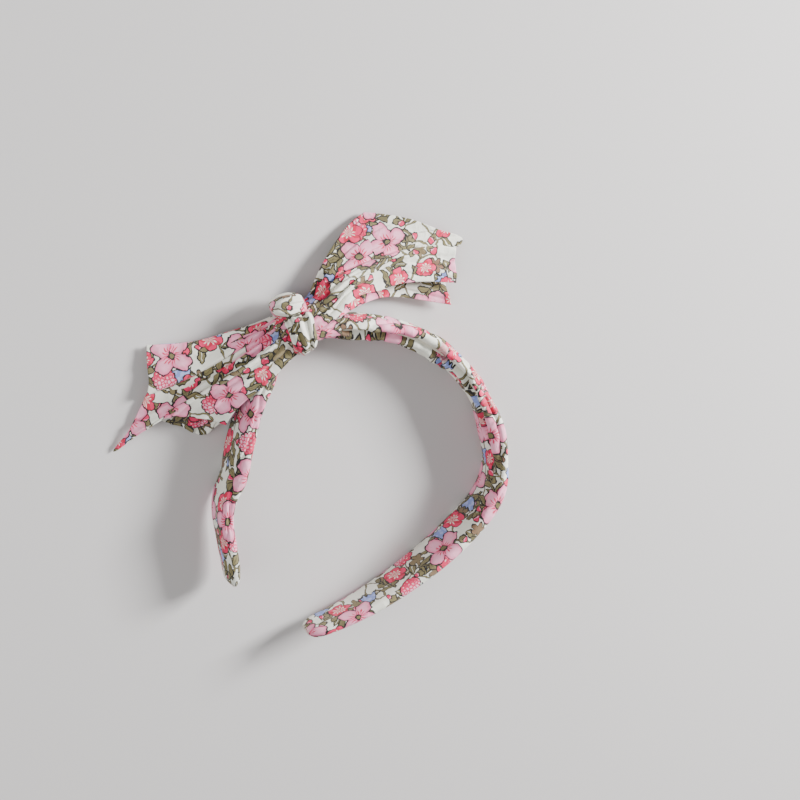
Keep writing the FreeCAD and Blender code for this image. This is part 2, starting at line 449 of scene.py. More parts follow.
        # a stalk with two pairs of leaves and one at the end
        x, y, _, present = self.scatter(cell, 0.6, shift, chance)
        bend = y + self.math("SINE", x * (2.0 / size)) * (0.22 * size)
        side = self.size(bend)
        stalk = self.math("MAXIMUM", side - 0.26, self.size(x) - size)
        self.shape(stalk, "olive", present)
        for start, turn, length in ((-0.75, 0.95, 1.15), (0.10, 1.00, 1.00)):
            leaf, _, across = self.leafDistance(x, side, start * size, turn, length * size, 0.42 * size)
            leaf = self.shape(leaf, "olive", present)
            self.lay(self.below(across, 0.14, 0.12) * leaf, "oliveDark")
        end, _, _ = self.leafDistance(x, bend, size * 0.75, 0.0, size * 1.15, size * 0.44)
        self.shape(end, "oliveDark", present)

    def fronds(self, cell, size, shift, chance):
        # small leaves cut into lobes
        x, y, lot, present = self.scatter(cell, 0.7, shift, chance)
        angle = self.math("ARCTAN2", y, x)
        lobes = self.size(self.math("COSINE", angle * 2.5))
        edge = self.length(x, y) - (lobes * 0.62 + 0.42) * size
        frond = self.shape(edge, self.mix(lot[1], "olive", "brown"), present)
        self.lay(self.below(lobes, 0.22, 0.1) * frond * 0.8, "oliveDark")

    def stems(self, cell, shift):
        # olive stalks along the edges between cells
        place = self.scaled(self.vector("ADD", self.drawn, (shift[0], shift[1], 0)), 1 / cell)
        away = self.cellEdges(place, Scale=1.0, Randomness=1.0) * cell
        self.lay(self.below(away, 0.50, 0.15), "outline")
        self.lay(self.below(away, 0.26, 0.15), "olive")


def makePrintedCotton():
    cloth = Print("printedCotton")
    cloth.colour = cloth.mix(cloth.noise(cloth.flat, 0.12, 1.0)[0], "ground", "groundShade")
    cloth.stems(cell=15.0, shift=(3.0, 5.0))
    cloth.leaves(cell=9.5, length=7.0, width=2.9, shift=(0.0, 0.0), chance=0.62)
    cloth.fronds(cell=17.0, size=3.5, shift=(4.0, 19.0), chance=0.55)
    cloth.sprigs(cell=17.0, size=5.8, shift=(3.1, 41.7), chance=0.85)
    cloth.buds(cell=10.0, size=2.1, shift=(17.0, 2.0), chance=0.55)
    cloth.bells(cell=24.0, size=4.6, shift=(5.0, 9.0), chance=0.70)
    cloth.clovers(cell=26.0, size=5.0, shift=(11.0, 31.0), chance=0.60)
    cloth.poppies(cell=19.0, size=5.8, shift=(7.0, 13.0), chance=0.75)
    cloth.blossoms(cell=27.0, size=9.5, shift=(2.0, 3.0), chance=0.66)
    # plain weave: threads over and under, a little uneven
    u, v, _ = cloth.parts(cloth.flat)
    turns = math.tau / printStyle["threadPitch"]
    weave = cloth.math("SINE", u * turns) * cloth.math("SINE", v * turns)
    slub = cloth.noise(cloth.flat, 2.4, 2.0)[0]
    crumple = cloth.noise(cloth.flat, 0.13, 3.0)[0]
    ridge = cloth.size(cloth.noise(cloth.flat, 0.075, 2.0)[0] - 0.5) ** 0.6
    height = (weave * printStyle["threadHeight"] + slub * printStyle["slubHeight"]
              + crumple * printStyle["crumpleHeight"] - ridge * printStyle["ridgeDepth"])
    bump = cloth.node("ShaderNodeBump", None, Strength=0.7, Distance=mm, Height=height)
    cloth.surface({
        "Base Color": cloth.mix(slub * printStyle["faded"], cloth.colour, "ground"),
        "Roughness": slub * 0.12 + 0.72, "Normal": bump.outputs[0],
        "Sheen Weight": 0.12, "Sheen Roughness": 0.5, "Specular IOR Level": 0.35,
    })
    return cloth.material


def bumpyShader(name, strength, depth, texture, settings, output, **inputs):
    # a plain material with a relief from one texture; also gives back the texture's value
    shader = Shader(name)
    place = shader.node("ShaderNodeTexCoord").outputs["Object"]
    value = shader.node(texture, settings, Vector=place, **inputs).outputs[output]
    bump = shader.node("ShaderNodeBump", None, Strength=strength, Distance=depth * mm, Height=value)
    shader.surface({"Normal": bump.outputs[0]})
    return shader, Num(shader, value)


def makeThread():
    thread, strand = bumpyShader("cottonThread", 0.6, 0.1, "ShaderNodeTexWave",
                                 {"bands_direction": "DIAGONAL"}, 1, Scale=900.0, Distortion=1.0)
    tone = thread.mix(strand * 0.5, paint(236, 226, 214), paint(214, 200, 186))
    thread.surface({"Base Color": tone, "Roughness": 0.7})
    return thread.material


def makeWadding():
    wadding, tuft = bumpyShader("whiteWadding", 0.8, 0.6, "ShaderNodeTexNoise",
                                None, 0, Scale=700.0, Detail=4.0)
    tone = wadding.mix(tuft, paint(240, 240, 238), paint(222, 222, 218))
    wadding.surface({"Base Color": tone, "Roughness": 0.95})
    return wadding.material


def makePlastic():
    plastic, grain = bumpyShader("ivoryPlastic", 0.25, 0.1, "ShaderNodeTexNoise",
                                 None, 0, Scale=420.0, Detail=3.0)
    plastic.surface({"Base Color": paint(226, 220, 204), "Roughness": grain * 0.25 + 0.35})
    return plastic.material


printedCotton = makePrintedCotton()
cottonThread = makeThread()
whiteWadding = makeWadding()
ivoryPlastic = makePlastic()
print("materials made")

# the covered hoop

sleeve = {
    # sizes of the section as (distance from the crown, value)
    "halfThickness": [(-191, 2.8), (-180, 3.4), (-157, 3.4), (-140, 4.1), (-115, 4.2), (-90, 4.1),
                      (-76, 3.8), (-67, 3.2), (-55, 3.9), (-30, 4.2), (0, 4.3), (40, 4.1), (80, 3.8),
                      (120, 3.5), (160, 3.1), (191, 2.7)],
    "width": [(-191, 13.0), (-160, 17.0), (-120, 20.5), (-90, 20.5), (-76, 19.0), (-67, 18.2),
              (-56, 18.5), (-30, 18.6), (0, 19.2), (35, 19.6), (62, 21.5), (85, 25.0), (108, 26.2),
              (140, 23.6), (175, 18.5), (191, 15.0)],
    "low": [(-191, 5.6), (-165, 3.2), (-140, 0.8), (-76, 0.5), (-67, 1.8), (-56, 0.5), (40, 0.4), (140, 0.4),
            (165, 2.6), (191, 5.2)],
    "squareness": [(-191, 2.6), (-100, 2.6), (0, 2.4), (60, 2.5), (95, 3.2), (191, 3.0)],
    "lean": [(-191, -3), (-170, -5), (-140, -9), (-115, -8), (-90, -3), (-67, 0), (0, 0), (60, 2.4),
             (191, 7.7)],
    "sway": [(-191, -2.2), (-180, -1.8), (-170, -0.3), (-157, 2.0), (-149, 1.6), (-141, -0.8), (-128, -1.0),
             (-110, -0.3), (-90, 0), (191, 0)],
    # half sizes of a typical section, which space the cloth evenly round the band
    "evenThickness": 3.8, "evenWidth": 10.5, "evenSquareness": 2.7,
    "closing": 5.0, "tipLength": 7.0, "tipNarrowing": 0.30, "lowest": 0.15,
    # the roll along the inside of the crown: height, place and width round the band, start and end
    "roll": 2.2, "rollPlace": 0.43, "rollWidth": 0.13, "rollStart": (-60, -40), "rollEnd": (0, 8),
    "sink": 1.8, "sinkPlace": 0.34, "sinkWidth": 0.045, "lap": 1.1, "lapPlace": 1.7, "lapWidth": 1.4,
    # lumps between the gathers, and where the gathers start and end
    "lumps": (0.35, 0.4), "unevenWidth": 0.4, "ruchedStart": (-190, -70), "ruchedEnd": (50, 100),
    "fabric": 0.35, "along": 420, "around": 110, "perimeter": 54.0, "print": (300, 70),
}


mainCreases = [
    # start, place round the band (0 outside, 0.25 top, 0.5 inside), end, place, valley, step, reach
    (-50, 0.27, 8, 0.285, 7.0, 1.5, 1.5), (-3, 0.28, 13, 0.47, 2.8, -1.2, 1.5),
    (-44, 0.22, -64, 0.17, 1.0, -0.9, 1.5), (-40, 0.22, -12, 0.10, 1.0, 0.9, 1.6),
    (2, 0.29, 62, 0.38, 4.0, 1.8, 1.5), (-8, 0.12, 46, 0.20, 0.9, 1.0, 1.8),
    (20, 0.20, 78, 0.31, 0.9, 1.1, 1.8), (-64, 0.10, -22, 0.05, 0.9, 0.8, 1.6),
    (-64, 0.32, -30, 0.37, 0.9, -0.8, 1.4), (40, 0.10, 88, 0.24, 0.4, 0.8, 2.0),
    (56, 0.42, 98, 0.33, 0.4, 0.6, 1.6), (-70, 0.08, -112, 0.18, 0.8, 0.9, 1.8),
    (-72, 0.24, -122, 0.20, 0.6, 0.8, 1.6), (-74, 0.34, -100, 0.30, 0.6, -0.6, 1.5),
    (-98, 0.32, -146, 0.16, 0.6, 0.8, 1.8), (-126, 0.10, -166, 0.26, 0.5, 0.9, 1.6),
    (-150, 0.24, -186, 0.10, 0.4, 0.7, 1.5), (-24, 0.36, 16, 0.33, 0.7, 0.7, 1.4),
    (-30, 0.16, 0, 0.19, 0.5, -0.7, 1.5),
]
smallCreases = {
    # how many, where they start, their length, sideways drift, valley, step, reach
    "crown": (34, (-64, 52), (12, 38), 0.10, (0.2, 0.8), (0.2, 0.6), (0.9, 1.7)),
    "knotLeg": (16, (-176, -80), (12, 30), 0.08, (0.1, 0.5), (0.2, 0.5), (0.9, 1.7)),
    "plainLeg": (9, (62, 160), (12, 26), 0.12, (0.05, 0.2), (0.05, 0.2), (1.2, 2.0)),
}


def section(key, s):
    return smoothCurve(s, sleeve[key])


def makeCreases():
    lots = random.Random(11)
    lines = list(mainCreases)
    for part, (count, span, lengths, drift, valley, step, reach) in smallCreases.items():
        for _ in range(count):
            start = lots.uniform(*span)
            if part == "crown":  # these draw their length before their place
                length, place = lots.uniform(*lengths), lots.random()
            else:
                place, length = lots.random(), lots.uniform(*lengths)
            lines.append((start, place, start + length, place + lots.uniform(-drift, drift),
                          lots.uniform(*valley), lots.choice((-1, 1)) * lots.uniform(*step),
                          lots.uniform(*reach)))
    return lines


creases = makeCreases()


def bulge(x, centre, width):
    return np.exp(-((x - centre) / width) ** 2)


def tuck(away, reach, sharp=0.45):
    # one edge of cloth lying over the next: a quick step that fades on both sides
    return np.tanh(away / sharp) * np.exp(-np.abs(away) / reach)


def roundPower(value, power):
    return np.sign(value) * np.abs(value) ** power


def creaseAway(k, s, around):
    # how far round the band a point is from crease k, and how strong the crease is there
    start, placeA, end, placeB = creases[k][:4]
    t = (s - start) / (end - start)
    inside = (t > 0) & (t < 1)
    t = np.clip(t, 0, 1)
    line = placeA + (placeB - placeA) * t
    line = line + 0.020 * np.sin(math.tau * (t + 0.37 * k)) + 0.005 * np.sin(0.7 * s + k)
    away = ((around - line + 0.5) % 1.0 - 0.5) * sleeve["perimeter"]
    return away, np.where(inside, np.sqrt(np.clip(4 * t * (1 - t), 0, 1)), 0.0)


def innerRoll(s):  # where the cloth rolls up along the inside of the crown
    return smoothStep(s, *sleeve["rollStart"]) * (1 - smoothStep(s, *sleeve["rollEnd"]))


def creaseDepth(s, around):
    depth = -sleeve["roll"] * innerRoll(s) * bulge(around, sleeve["rollPlace"], sleeve["rollWidth"])
    for k, (_, _, _, _, valley, step, reach) in enumerate(creases):
        away, fade = creaseAway(k, s, around)
        groove = bulge(away, 0, 0.75 * reach) - 0.35 * bulge(np.abs(away), 1.8 * reach, reach)
        depth += fade * (valley * groove + step * tuck(away, reach))
    return depth


def evenAround():
    # places round a rounded-rectangle section, evenly spaced along its outline
    angle = np.linspace(0, math.tau, 2001)
    power = 2 / sleeve["evenSquareness"]
    x = sleeve["evenThickness"] * roundPower(np.cos(angle), power)
    y = sleeve["evenWidth"] * roundPower(np.sin(angle), power)
    length = np.concatenate([[0], np.cumsum(np.hypot(np.diff(x), np.diff(y)))])
    return length / length[-1], angle


outlineShare, outlineAngle = evenAround()


def bandSurface(s, around, inset):
    x, y, heading = hoopLine(s)
    angle = np.interp(around % 1.0, outlineShare, outlineAngle)
    angle = np.where(around >= 1.0, math.tau, angle)
    power = 2 / section("squareness", s)
    toTip = np.clip((halfLength - np.abs(s)) / sleeve["closing"], 0, 1)
    closing = np.sqrt(1 - (1 - toTip) ** 2)
    nearTip = 1 - np.clip((halfLength - np.abs(s)) / sleeve["tipLength"], 0, 1)
    narrowing = 1 - sleeve["tipNarrowing"] * nearTip ** 2
    fine, broad = sleeve["lumps"]
    lump = fine * np.sin(s * 0.21 + 4 * around * math.tau) + broad * np.sin(s * 0.13 + 1.0)
    ruched = smoothStep(s, *sleeve["ruchedStart"]) * (1 - smoothStep(s, *sleeve["ruchedEnd"]))
    thick = (section("halfThickness", s) + lump * ruched - inset) * closing
    uneven = sleeve["unevenWidth"] * np.sin(s * 0.17) * ruched
    wide = (section("width", s) / 2 + uneven - inset) * narrowing
    middle = section("low", s) + section("width", s) / 2
    c, d = np.cos(angle), np.sin(angle)
    out = thick * roundPower(c, power)
    up = wide * roundPower(d, power)
    normalOut = roundPower(c, 2 - power) / np.maximum(thick, 0.3)
    normalUp = roundPower(d, 2 - power) / np.maximum(wide, 0.3)
    size = np.maximum(np.hypot(normalOut, normalUp), 1e-6)
    push = -creaseDepth(s, around) * closing
    away, fade = creaseAway(0, s, around)
    lap = sleeve["lap"] * fade * bulge(away, -sleeve["lapPlace"], sleeve["lapWidth"])
    sunk = sleeve["sink"] * innerRoll(s) * bulge(around, sleeve["sinkPlace"], sleeve["sinkWidth"])
    out = out + push * normalOut / size - lap
    up = up + push * normalUp / size - sunk
    out = out + up * np.tan(np.radians(section("lean", s))) + section("sway", s)
    height = np.maximum(middle + up, sleeve["lowest"] + inset)
    points = np.stack([x + out * np.sin(heading), y + out * np.cos(heading), height], axis=1)
    return points, s, (around - 0.5) * sleeve["perimeter"]


def makeSleeve():
    def place(a, b):
        justShort = 0.99999  # the section has no size at the very tip
        return bandSurface((2 * a - 1) * halfLength * justShort, b, 0.0)
    piece = clothGrid("fabric_sleeve", sleeve["along"], sleeve["around"], place, sleeve["print"])
    closeSeam(piece)
    applyModifier(piece, "SOLIDIFY", thickness=sleeve["fabric"] * mm, offset=-1)
    return finishPiece(piece, printedCotton)


padding = {"inset": 1.1, "along": 220, "around": 48, "short": 2.5}


def makePadding():
    def place(a, b):
        return bandSurface((2 * a - 1) * (halfLength - padding["short"]), b, padding["inset"])
    piece = clothGrid("wadding_layer", padding["along"], padding["around"], place, sleeve["print"])
    closeSeam(piece)
    inEditMode(piece, lambda: bpy.ops.mesh.fill_holes(sides=0))
    return finishPiece(piece, whiteWadding)


core = {
    "halfThickness": 1.0, "width": 12.5, "tipWidth": 8.0, "taperStart": 90, "low": 4.0, "short": 5.0,
    "roundLength": 6, "tipShare": 0.15, "bevel": 0.4, "along": 200, "across": 8,
}


def makeCore():
    # a flat springy strip with round ends
    clearSelection()
    bpy.ops.mesh.primitive_grid_add(x_subdivisions=core["along"], y_subdivisions=core["across"], size=1)
    piece = bpy.context.object
    piece.name = piece.data.name = "plastic_core"
    corners = np.array([v.co for v in piece.data.vertices]) + 0.5
    reach = halfLength - core["short"]
    s = (2 * corners[:, 0] - 1) * reach
    x, y, _ = hoopLine(s)
    toTip = np.clip((reach - np.abs(s)) / core["roundLength"], 0, 1)
    tapered = smoothStep(np.abs(s), core["taperStart"], reach)
    width = core["width"] + (core["tipWidth"] - core["width"]) * tapered
    width = width * (core["tipShare"] + (1 - core["tipShare"]) * np.sqrt(1 - (1 - toTip) ** 2))
    height = core["low"] + core["width"] / 2 + (corners[:, 1] - 0.5) * width
    points = np.stack([x, y, height], axis=1)
    piece.data.vertices.foreach_set("co", (points * mm).ravel())
    piece.data.update()
    applyModifier(piece, "SOLIDIFY", thickness=2 * core["halfThickness"] * mm, offset=0)
    applyModifier(piece, "BEVEL", width=core["bevel"] * mm, segments=2, limit_method="ANGLE")
    return finishPiece(piece, ivoryPlastic)


fabricSleeve = makeSleeve()
print("sleeve made:", len(fabricSleeve.data.polygons))
waddingLayer = makePadding()
plasticCore = makeCore()
print("padding and core made")

# the knot

wrap = {
    "outCentre": 3.6, "halfOut": 8.8, "upCentre": 12.5, "halfUp": 12.7, "square": 3.4,
    "outerWidth": 13.0, "innerWidth": 10.4, "outerShift": 0.2, "innerShift": -1.9, "rise": 2.8,
    "lowest": 0.1, "grid": (160, 96), "length": 66, "print": (37, 74), "undersidePrint": 20,
    # pleats: place across at the outside of the band, place at the inside, depth
    "pleats": [(-0.66, -0.50, 0.9), (-0.30, -0.15, 1.0), (0.12, 0.12, -0.9), (0.50, 0.42, 1.0)],
}


def makeWrap():
    # the turn round the band: a pleated ribbon whose edges tuck down to the sleeve
    def place(a, b):
        turn = a * math.tau
        edge = b * math.tau
        across = np.cos(edge)
        over = np.sin(edge)
        inner = 0.5 - 0.5 * np.cos(turn)
        width = wrap["outerWidth"] * (1 - inner) + wrap["innerWidth"] * inner
        shift = wrap["outerShift"] * (1 - inner) + wrap["innerShift"] * inner
        along = roundPower(across, 0.75) * width / 2 + shift
        dome = np.where(over > 0, np.abs(over) ** 0.4, -0.6 * np.abs(over) ** 0.7)
        folds = np.zeros_like(a)
        for outerPlace, innerPlace, deep in wrap["pleats"]:
            line = outerPlace * (1 - inner) + innerPlace * inner + 0.05 * np.sin(3 * turn + 9 * outerPlace)
            folds += deep * tuck((across - line) * width / 2, 1.3, 0.3)
        folds += 0.12 * np.sin(across * 19 + turn * 2)
        rise = wrap["rise"] * dome + folds * np.clip(over, 0, 1) ** 0.5
        power = 2 / wrap["square"]
        out = wrap["outCentre"] + (wrap["halfOut"] - wrap["rise"] + rise) * roundPower(np.cos(turn), power)
        up = wrap["upCentre"] + (wrap["halfUp"] - wrap["rise"] + rise) * roundPower(np.sin(turn), power)
        underside = np.where(over < 0, wrap["undersidePrint"], 0)
        return atKnot(along, out, np.maximum(up, wrap["lowest"])), a * wrap["length"], along + underside
    piece = clothGrid("knot_wrap_fold", *wrap["grid"], place, wrap["print"])
    closeSeam(piece)
    return finishPiece(piece, printedCotton)


loop = {
    "along": 7.8, "out": 5.3, "up": 7.6, "alongCentre": -1.0, "outCentre": 15.9, "upCentre": 12.0,
    "lean": 0.12, "grid": (160, 80), "clothRadius": 6.5, "clothLength": 22, "print": (91, 40),
    # pleats: turn round the loop, depth
    "pleats": [(0.45, 1.5), (1.15, -1.1), (1.75, 1.5), (2.5, 1.0), (3.6, 1.2), (4.5, -1.2), (5.6, 1.3)],
}


def makeLoop():
    # the round turn of the knot: folds run from one tail to the other over its outside
    def place(a, b):
        turn = a * math.tau
        polar = b * math.pi
        ring = np.sin(polar) ** 0.72
        middle = np.cos(polar)
        folds = np.zeros_like(a)
        for at, deep in loop["pleats"]:
            line = at + 0.35 * middle * np.sin(3 * at)
            away = (turn - line + math.pi) % math.tau - math.pi
            folds += deep * tuck(away * 6.0, 1.6)
        swell = 1 + folds / loop["clothRadius"] * (0.75 + 0.35 * np.abs(middle))
        along = loop["alongCentre"] - loop["along"] * roundPower(middle, 0.9)
        out = loop["outCentre"] + loop["out"] * ring * swell * roundPower(np.cos(turn), 0.85)
        out = out - loop["lean"] * (along - loop["alongCentre"])
        up = loop["upCentre"] + loop["up"] * ring * swell * roundPower(np.sin(turn), 0.85)
        return atKnot(along, out, up), turn * loop["clothRadius"], (b - 0.5) * loop["clothLength"]
    piece = clothGrid("knot_loop_fold", *loop["grid"], place, loop["print"])
    closeSeam(piece)
    return finishPiece(piece, printedCotton)


crossing = {
    "along": 9.5, "out": 3.4, "up": 6.6, "outCentre": 9.3, "upCentre": 12.0,
    "fold": 0.35, "grid": (84, 40), "clothRadius": 6, "print": (150, 60),
}


def makeCrossing():
    # the hidden bundle between the tails
    def place(a, b):
        turn = a * math.tau
        polar = b * math.pi
        ring = np.sin(polar) ** 0.45
        fold = crossing["fold"] * np.sin(7 * turn + 2 * b)
        along = crossing["along"] * -np.cos(polar)
        out = crossing["outCentre"] + (crossing["out"] + fold) * ring * np.cos(turn)
        up = crossing["upCentre"] + (crossing["up"] + fold) * ring * np.sin(turn)
        return atKnot(along, out, up), turn * crossing["clothRadius"], along
    piece = clothGrid("knot_crossing_fold", *crossing["grid"], place, crossing["print"])
    closeSeam(piece)
    return finishPiece(piece, printedCotton)


knotWrap = makeWrap()
knotLoop = makeLoop()
knotCrossing = makeCrossing()
print("knot made")

# the tails: outlines as (x, y, z) points, roots as (along, out, up) at the knot

upperTail = {
    "name": "upper_tail",
    "root": [(3.5, 12.4, 6.0), (3.5, 12.0, 13.0), (3.5, 7.5, 18.6), (3.5, 2.6, 20.2)],
    "face": {
        "outer": [(-64, -11, 8.0), (-65.5, -3, 7.0), (-66.2, 14, 5.0), (-64, 28, 3.2), (-61.4, 34, 2.6)],
        "end": [(-57, 36.5, 3.2), (-43, 42.5, 4.4), (-28, 46.2, 3.6), (-13, 49, 2.0), (-15.3, 44.3, 4.6),
                (-12.7, 39, 5.6), (-6.7, 30.6, 7.0)],
        "inner": [(-51.5, -13.5, 19.5), (-49.5, -4, 18.2), (-46.2, 1.5, 16.2), (-40, 7, 14.2),
                  (-31.6, 15.7, 11.6), (-20.4, 23.4, 9.4)],
    },
    "backing": {
        "outer": [(-63.5, -11, 5.0), (-64.5, -3, 4.0), (-65, 14, 2.4), (-63, 28, 1.6), (-60.4, 33, 1.4)],
        "end": [(-57, 35, 1.5), (-43, 41, 1.8), (-28, 44.6, 1.6), (-15, 45.5, 1.4), (-9.6, 28.2, 3.0),
                (-1.8, 21.1, 4.6)],
        "inner": [(-50, -13.4, 16.5), (-41.2, -2.4, 9.0), (-32.2, 6.8, 5.4), (-25.2, 10.9, 4.4),
                  (-12.2, 16.7, 4.4)],
    },
    # tucks: place at the root, place at the end, height, reach, how it fades to the end
    "tucks": [(0.10, 0.775, 1.7, 5.0, 0.8), (0.30, 0.88, 1.5, 3.0, 0.35), (0.50, 0.93, 1.5, 2.6, 0.3),
              (0.72, 0.97, -1.4, 2.4, 0.3), (0.22, 0.50, -1.4, 3.0, 0.2), (0.40, 0.64, 1.4, 3.2, 0.25),
              (0.62, 0.83, -1.2, 2.6, 0.2), (0.84, 0.90, 1.0, 2.0, 0.2), (0.06, 0.28, 1.1, 3.0, 0.2)],
    "cut": (60, 84), "print": (30.0, 190.0), "wave": 0.8,
}
lowerTail = {
    "name": "lower_tail",
    "root": [(-3.5, 12.2, 4.5), (-3.5, 11.4, 13.0), (-3.5, 6.0, 19.6), (-3.5, -3.0, 20.6)],
    "face": {
        "outer": [(-76, -33, 8.0), (-84.5, -43, 6.6), (-95.5, -55.4, 4.8), (-113.5, -69, 2.8)],
        "end": [(-109.5, -75, 3.6), (-102.7, -84.6, 4.4), (-101, -90, 3.8), (-99.8, -97, 2.8),
                (-98.6, -106, 1.9), (-99, -117, 1.0), (-95.8, -109.5, 2.4), (-92.8, -97.3, 5.0),
                (-86.8, -90, 7.8), (-82.5, -87, 9.2), (-74.8, -82.7, 10.6), (-65.4, -80, 12.6)],
        "inner": [(-59.8, -40, 22.0), (-62, -50, 22.0), (-64, -59, 20.6), (-66, -67, 18.0),
                  (-66.5, -73, 15.6)],
    },
    "backing": {
        "outer": [(-76, -33.5, 5.0), (-84, -43, 4.0), (-94.5, -55, 2.6), (-111.5, -68, 1.4)],
        "end": [(-107, -75, 1.6), (-101, -84, 1.6), (-96, -92, 1.4), (-88.6, -94, 1.4), (-78.6, -92, 1.6),
                (-68.6, -90.4, 1.8), (-66, -81, 6.4)],
        "inner": [(-61.8, -42, 19.0), (-64, -52, 17.6), (-66, -61, 15.6), (-67.6, -69, 12.4),
                  (-67.4, -74, 10.0)],
    },
    "tucks": [(0.26, 0.22, -1.8, 5.0, 0.8), (0.40, 0.34, 1.6, 3.2, 0.4), (0.10, 0.10, -1.3, 2.8, 0.3),
              (0.54, 0.60, 1.6, 3.2, 0.3), (0.68, 0.78, -1.7, 3.2, 0.4), (0.84, 0.92, -1.4, 2.8, 0.4),
              (0.61, 0.70, 1.2, 2.6, 0.2), (0.76, 0.86, 1.2, 2.4, 0.2), (0.47, 0.46, -1.1, 2.8, 0.2)],
    "cut": (60, 92), "print": (41.0, 296.0), "wave": 0.6,
}
tailCloth = {
    "along": 150, "across": 130, "fabric": 0.3, "clearance": 0.5, "faceClearance": 0.5,
    "rootWidth": 16, "spread": 44, "groove": 0.5, "grooveWidth": 0.7, "ripple": 0.30, "crumple": 0.18,
    "lowest": {"face": 0.8, "backing": 0.25}, "backingRoot": 0.9, "backingPrint": 120,
    "nearBand": (-120, 10, 261), "besideBand": 2, "bandSquareness": 2.6,
}


def edgeCurve(points, t):  # a smooth line through a few points, evenly paced
    points = np.array(points, float)
    pace = np.concatenate([[0], np.cumsum(np.linalg.norm(np.diff(points, axis=0), axis=1))])
    pace /= pace[-1]
    return np.stack([smoothCurve(t, list(zip(pace, points[:, i]))) for i in range(3)], axis=1)


def clearOfBand(points, gap):  # cloth that would sink into the covered hoop is laid on it
    s = np.linspace(*tailCloth["nearBand"])
    x, y, heading = hoopLine(s)
    near = np.argmin((points[:, 0:1] - x) ** 2 + (points[:, 1:2] - y) ** 2, axis=1)
    dx = points[:, 0] - x[near]
    dy = points[:, 1] - y[near]
    out = dx * np.sin(heading[near]) + dy * np.cos(heading[near])
    along = dx * np.cos(heading[near]) - dy * np.sin(heading[near])
    wide = section("width", s[near]) / 2
    up = points[:, 2] - section("low", s[near]) - wide
    lean = np.radians(section("lean", s[near]))
    out = out - up * np.tan(lean) - section("sway", s[near])
    thick = section("halfThickness", s[near]) + gap
    wide = wide + gap
    power = tailCloth["bandSquareness"]
    level = (np.abs(out / thick) ** power + np.abs(up / wide) ** power) ** (1 / power)
    sinks = (level < 1) & (np.abs(along) < tailCloth["besideBand"])
    push = np.where(sinks, 1 / np.maximum(level, 0.25) - 1, 0)
    moved = points.copy()
    moved[:, 0] += push * out * np.sin(heading[near])
    moved[:, 1] += push * out * np.cos(heading[near])
    moved[:, 2] += push * up
    return moved


def tailPlace(tail, layer):
    below = layer == "backing"
    outline = tail[layer]
    root = [tuple(atKnot(*np.array(point, float))) for point in tail["root"]]
    if below:
        root = [tuple(np.array(point) * (1, 1, tailCloth["backingRoot"])) for point in root]
    corners = outline["end"]
    outer = [root[0]] + outline["outer"]
    end = [outline["outer"][-1]] + corners
    inner = [root[-1]] + outline["inner"] + [corners[-1]]
    cornerPoints = np.array([outer[0], outer[-1], inner[0], inner[-1]], float)

    def sheet(a, b):  # the surface spanned by the four edges
        left, right = edgeCurve(outer, a), edgeCurve(inner, a)
        near, far = edgeCurve(root, b), edgeCurve(end, b)
        u, v = a[:, None], b[:, None]
        blend = ((1 - u) * (1 - v) * cornerPoints[0] + u * (1 - v) * cornerPoints[1]
                 + (1 - u) * v * cornerPoints[2] + u * v * cornerPoints[3])
        return (1 - v) * left + v * right + (1 - u) * near + u * far - blend

    def place(a, b):
        step = 0.004  # of the cloth's length, to measure which way it faces
        points = sheet(a, b)
        alongWay = sheet(np.minimum(a + step, 1), b) - sheet(np.maximum(a - step, 0), b)
        acrossWay = sheet(a, np.minimum(b + step, 1)) - sheet(a, np.maximum(b - step, 0))
        normal = np.cross(acrossWay, alongWay)
        normal /= np.maximum(np.linalg.norm(normal, axis=1), 1e-9)[:, None]
        if normal[len(normal) // 2, 2] < 0:
            normal = -normal
        spread = tailCloth["rootWidth"] + tailCloth["spread"] * a
        rise = np.zeros_like(a)
        for rootPlace, endPlace, deep, reach, kept in tail["tucks"]:
            line = rootPlace + (endPlace - rootPlace) * a ** 0.7
            strength = deep * (kept + (1 - kept) * (1 - a) ** 1.2) * smoothStep(a, 0.02, 0.18)
            away = (b - line) * spread
            groove = tailCloth["groove"] * np.abs(strength) * bulge(away, 0, tailCloth["grooveWidth"])
            rise += strength * tuck(away, reach * (0.4 + 0.6 * a)) - groove
        rise += tailCloth["ripple"] * np.sin(math.tau * (5.3 * b + 0.6 * a)) * (1 - a)
        rise += tail["wave"] * a * a * np.sin(math.tau * (1.6 * b + 0.5 * a) + 0.8)
        rise += tailCloth["crumple"] * np.sin(21 * a + 9 * b) * np.sin(math.tau * 2.2 * b - 6 * a)
        edgeHold = smoothStep(b, 0.0, 0.04) * (1 - smoothStep(b, 0.97, 1.0)) * 0.7 + 0.3
        points = points + normal * (rise * edgeHold)[:, None]
        points = clearOfBand(points, tailCloth["clearance"] + (0.0 if below else tailCloth["faceClearance"]))
        points[:, 2] = np.maximum(points[:, 2], tailCloth["lowest"][layer])
        width, length = tail["cut"]
        return points, a * length, b * width  # until layPrint flattens it

    return place


def makeTailLayer(tail, layer):
    piece = clothGrid(tail["name"] + "_" + layer + "_cloth", tailCloth["along"], tailCloth["across"],
                      tailPlace(tail, layer))
    printX, printY = tail["print"]
    layPrint(piece, (printX, printY + (tailCloth["backingPrint"] if layer == "backing" else 0)))
    applyModifier(piece, "SOLIDIFY", thickness=tailCloth["fabric"] * mm, offset=0)
    return finishPiece(piece, printedCotton)


tails = {}
for tail in (upperTail, lowerTail):
    for layer in ("face", "backing"):
        tails[tail["name"] + "_" + layer] = makeTailLayer(tail, layer)
print("tails made")

# stitches

stitch = {"length": 1.1, "thread": 0.22, "rows": 5, "pitch": 1.7, "inset": 0.9, "slants": (-0.15, 0.25)}
tack = {"along": -3.2, "lift": 0.6, "upCentre": 11.8, "pitch": 3.4, "slant": 0.2}


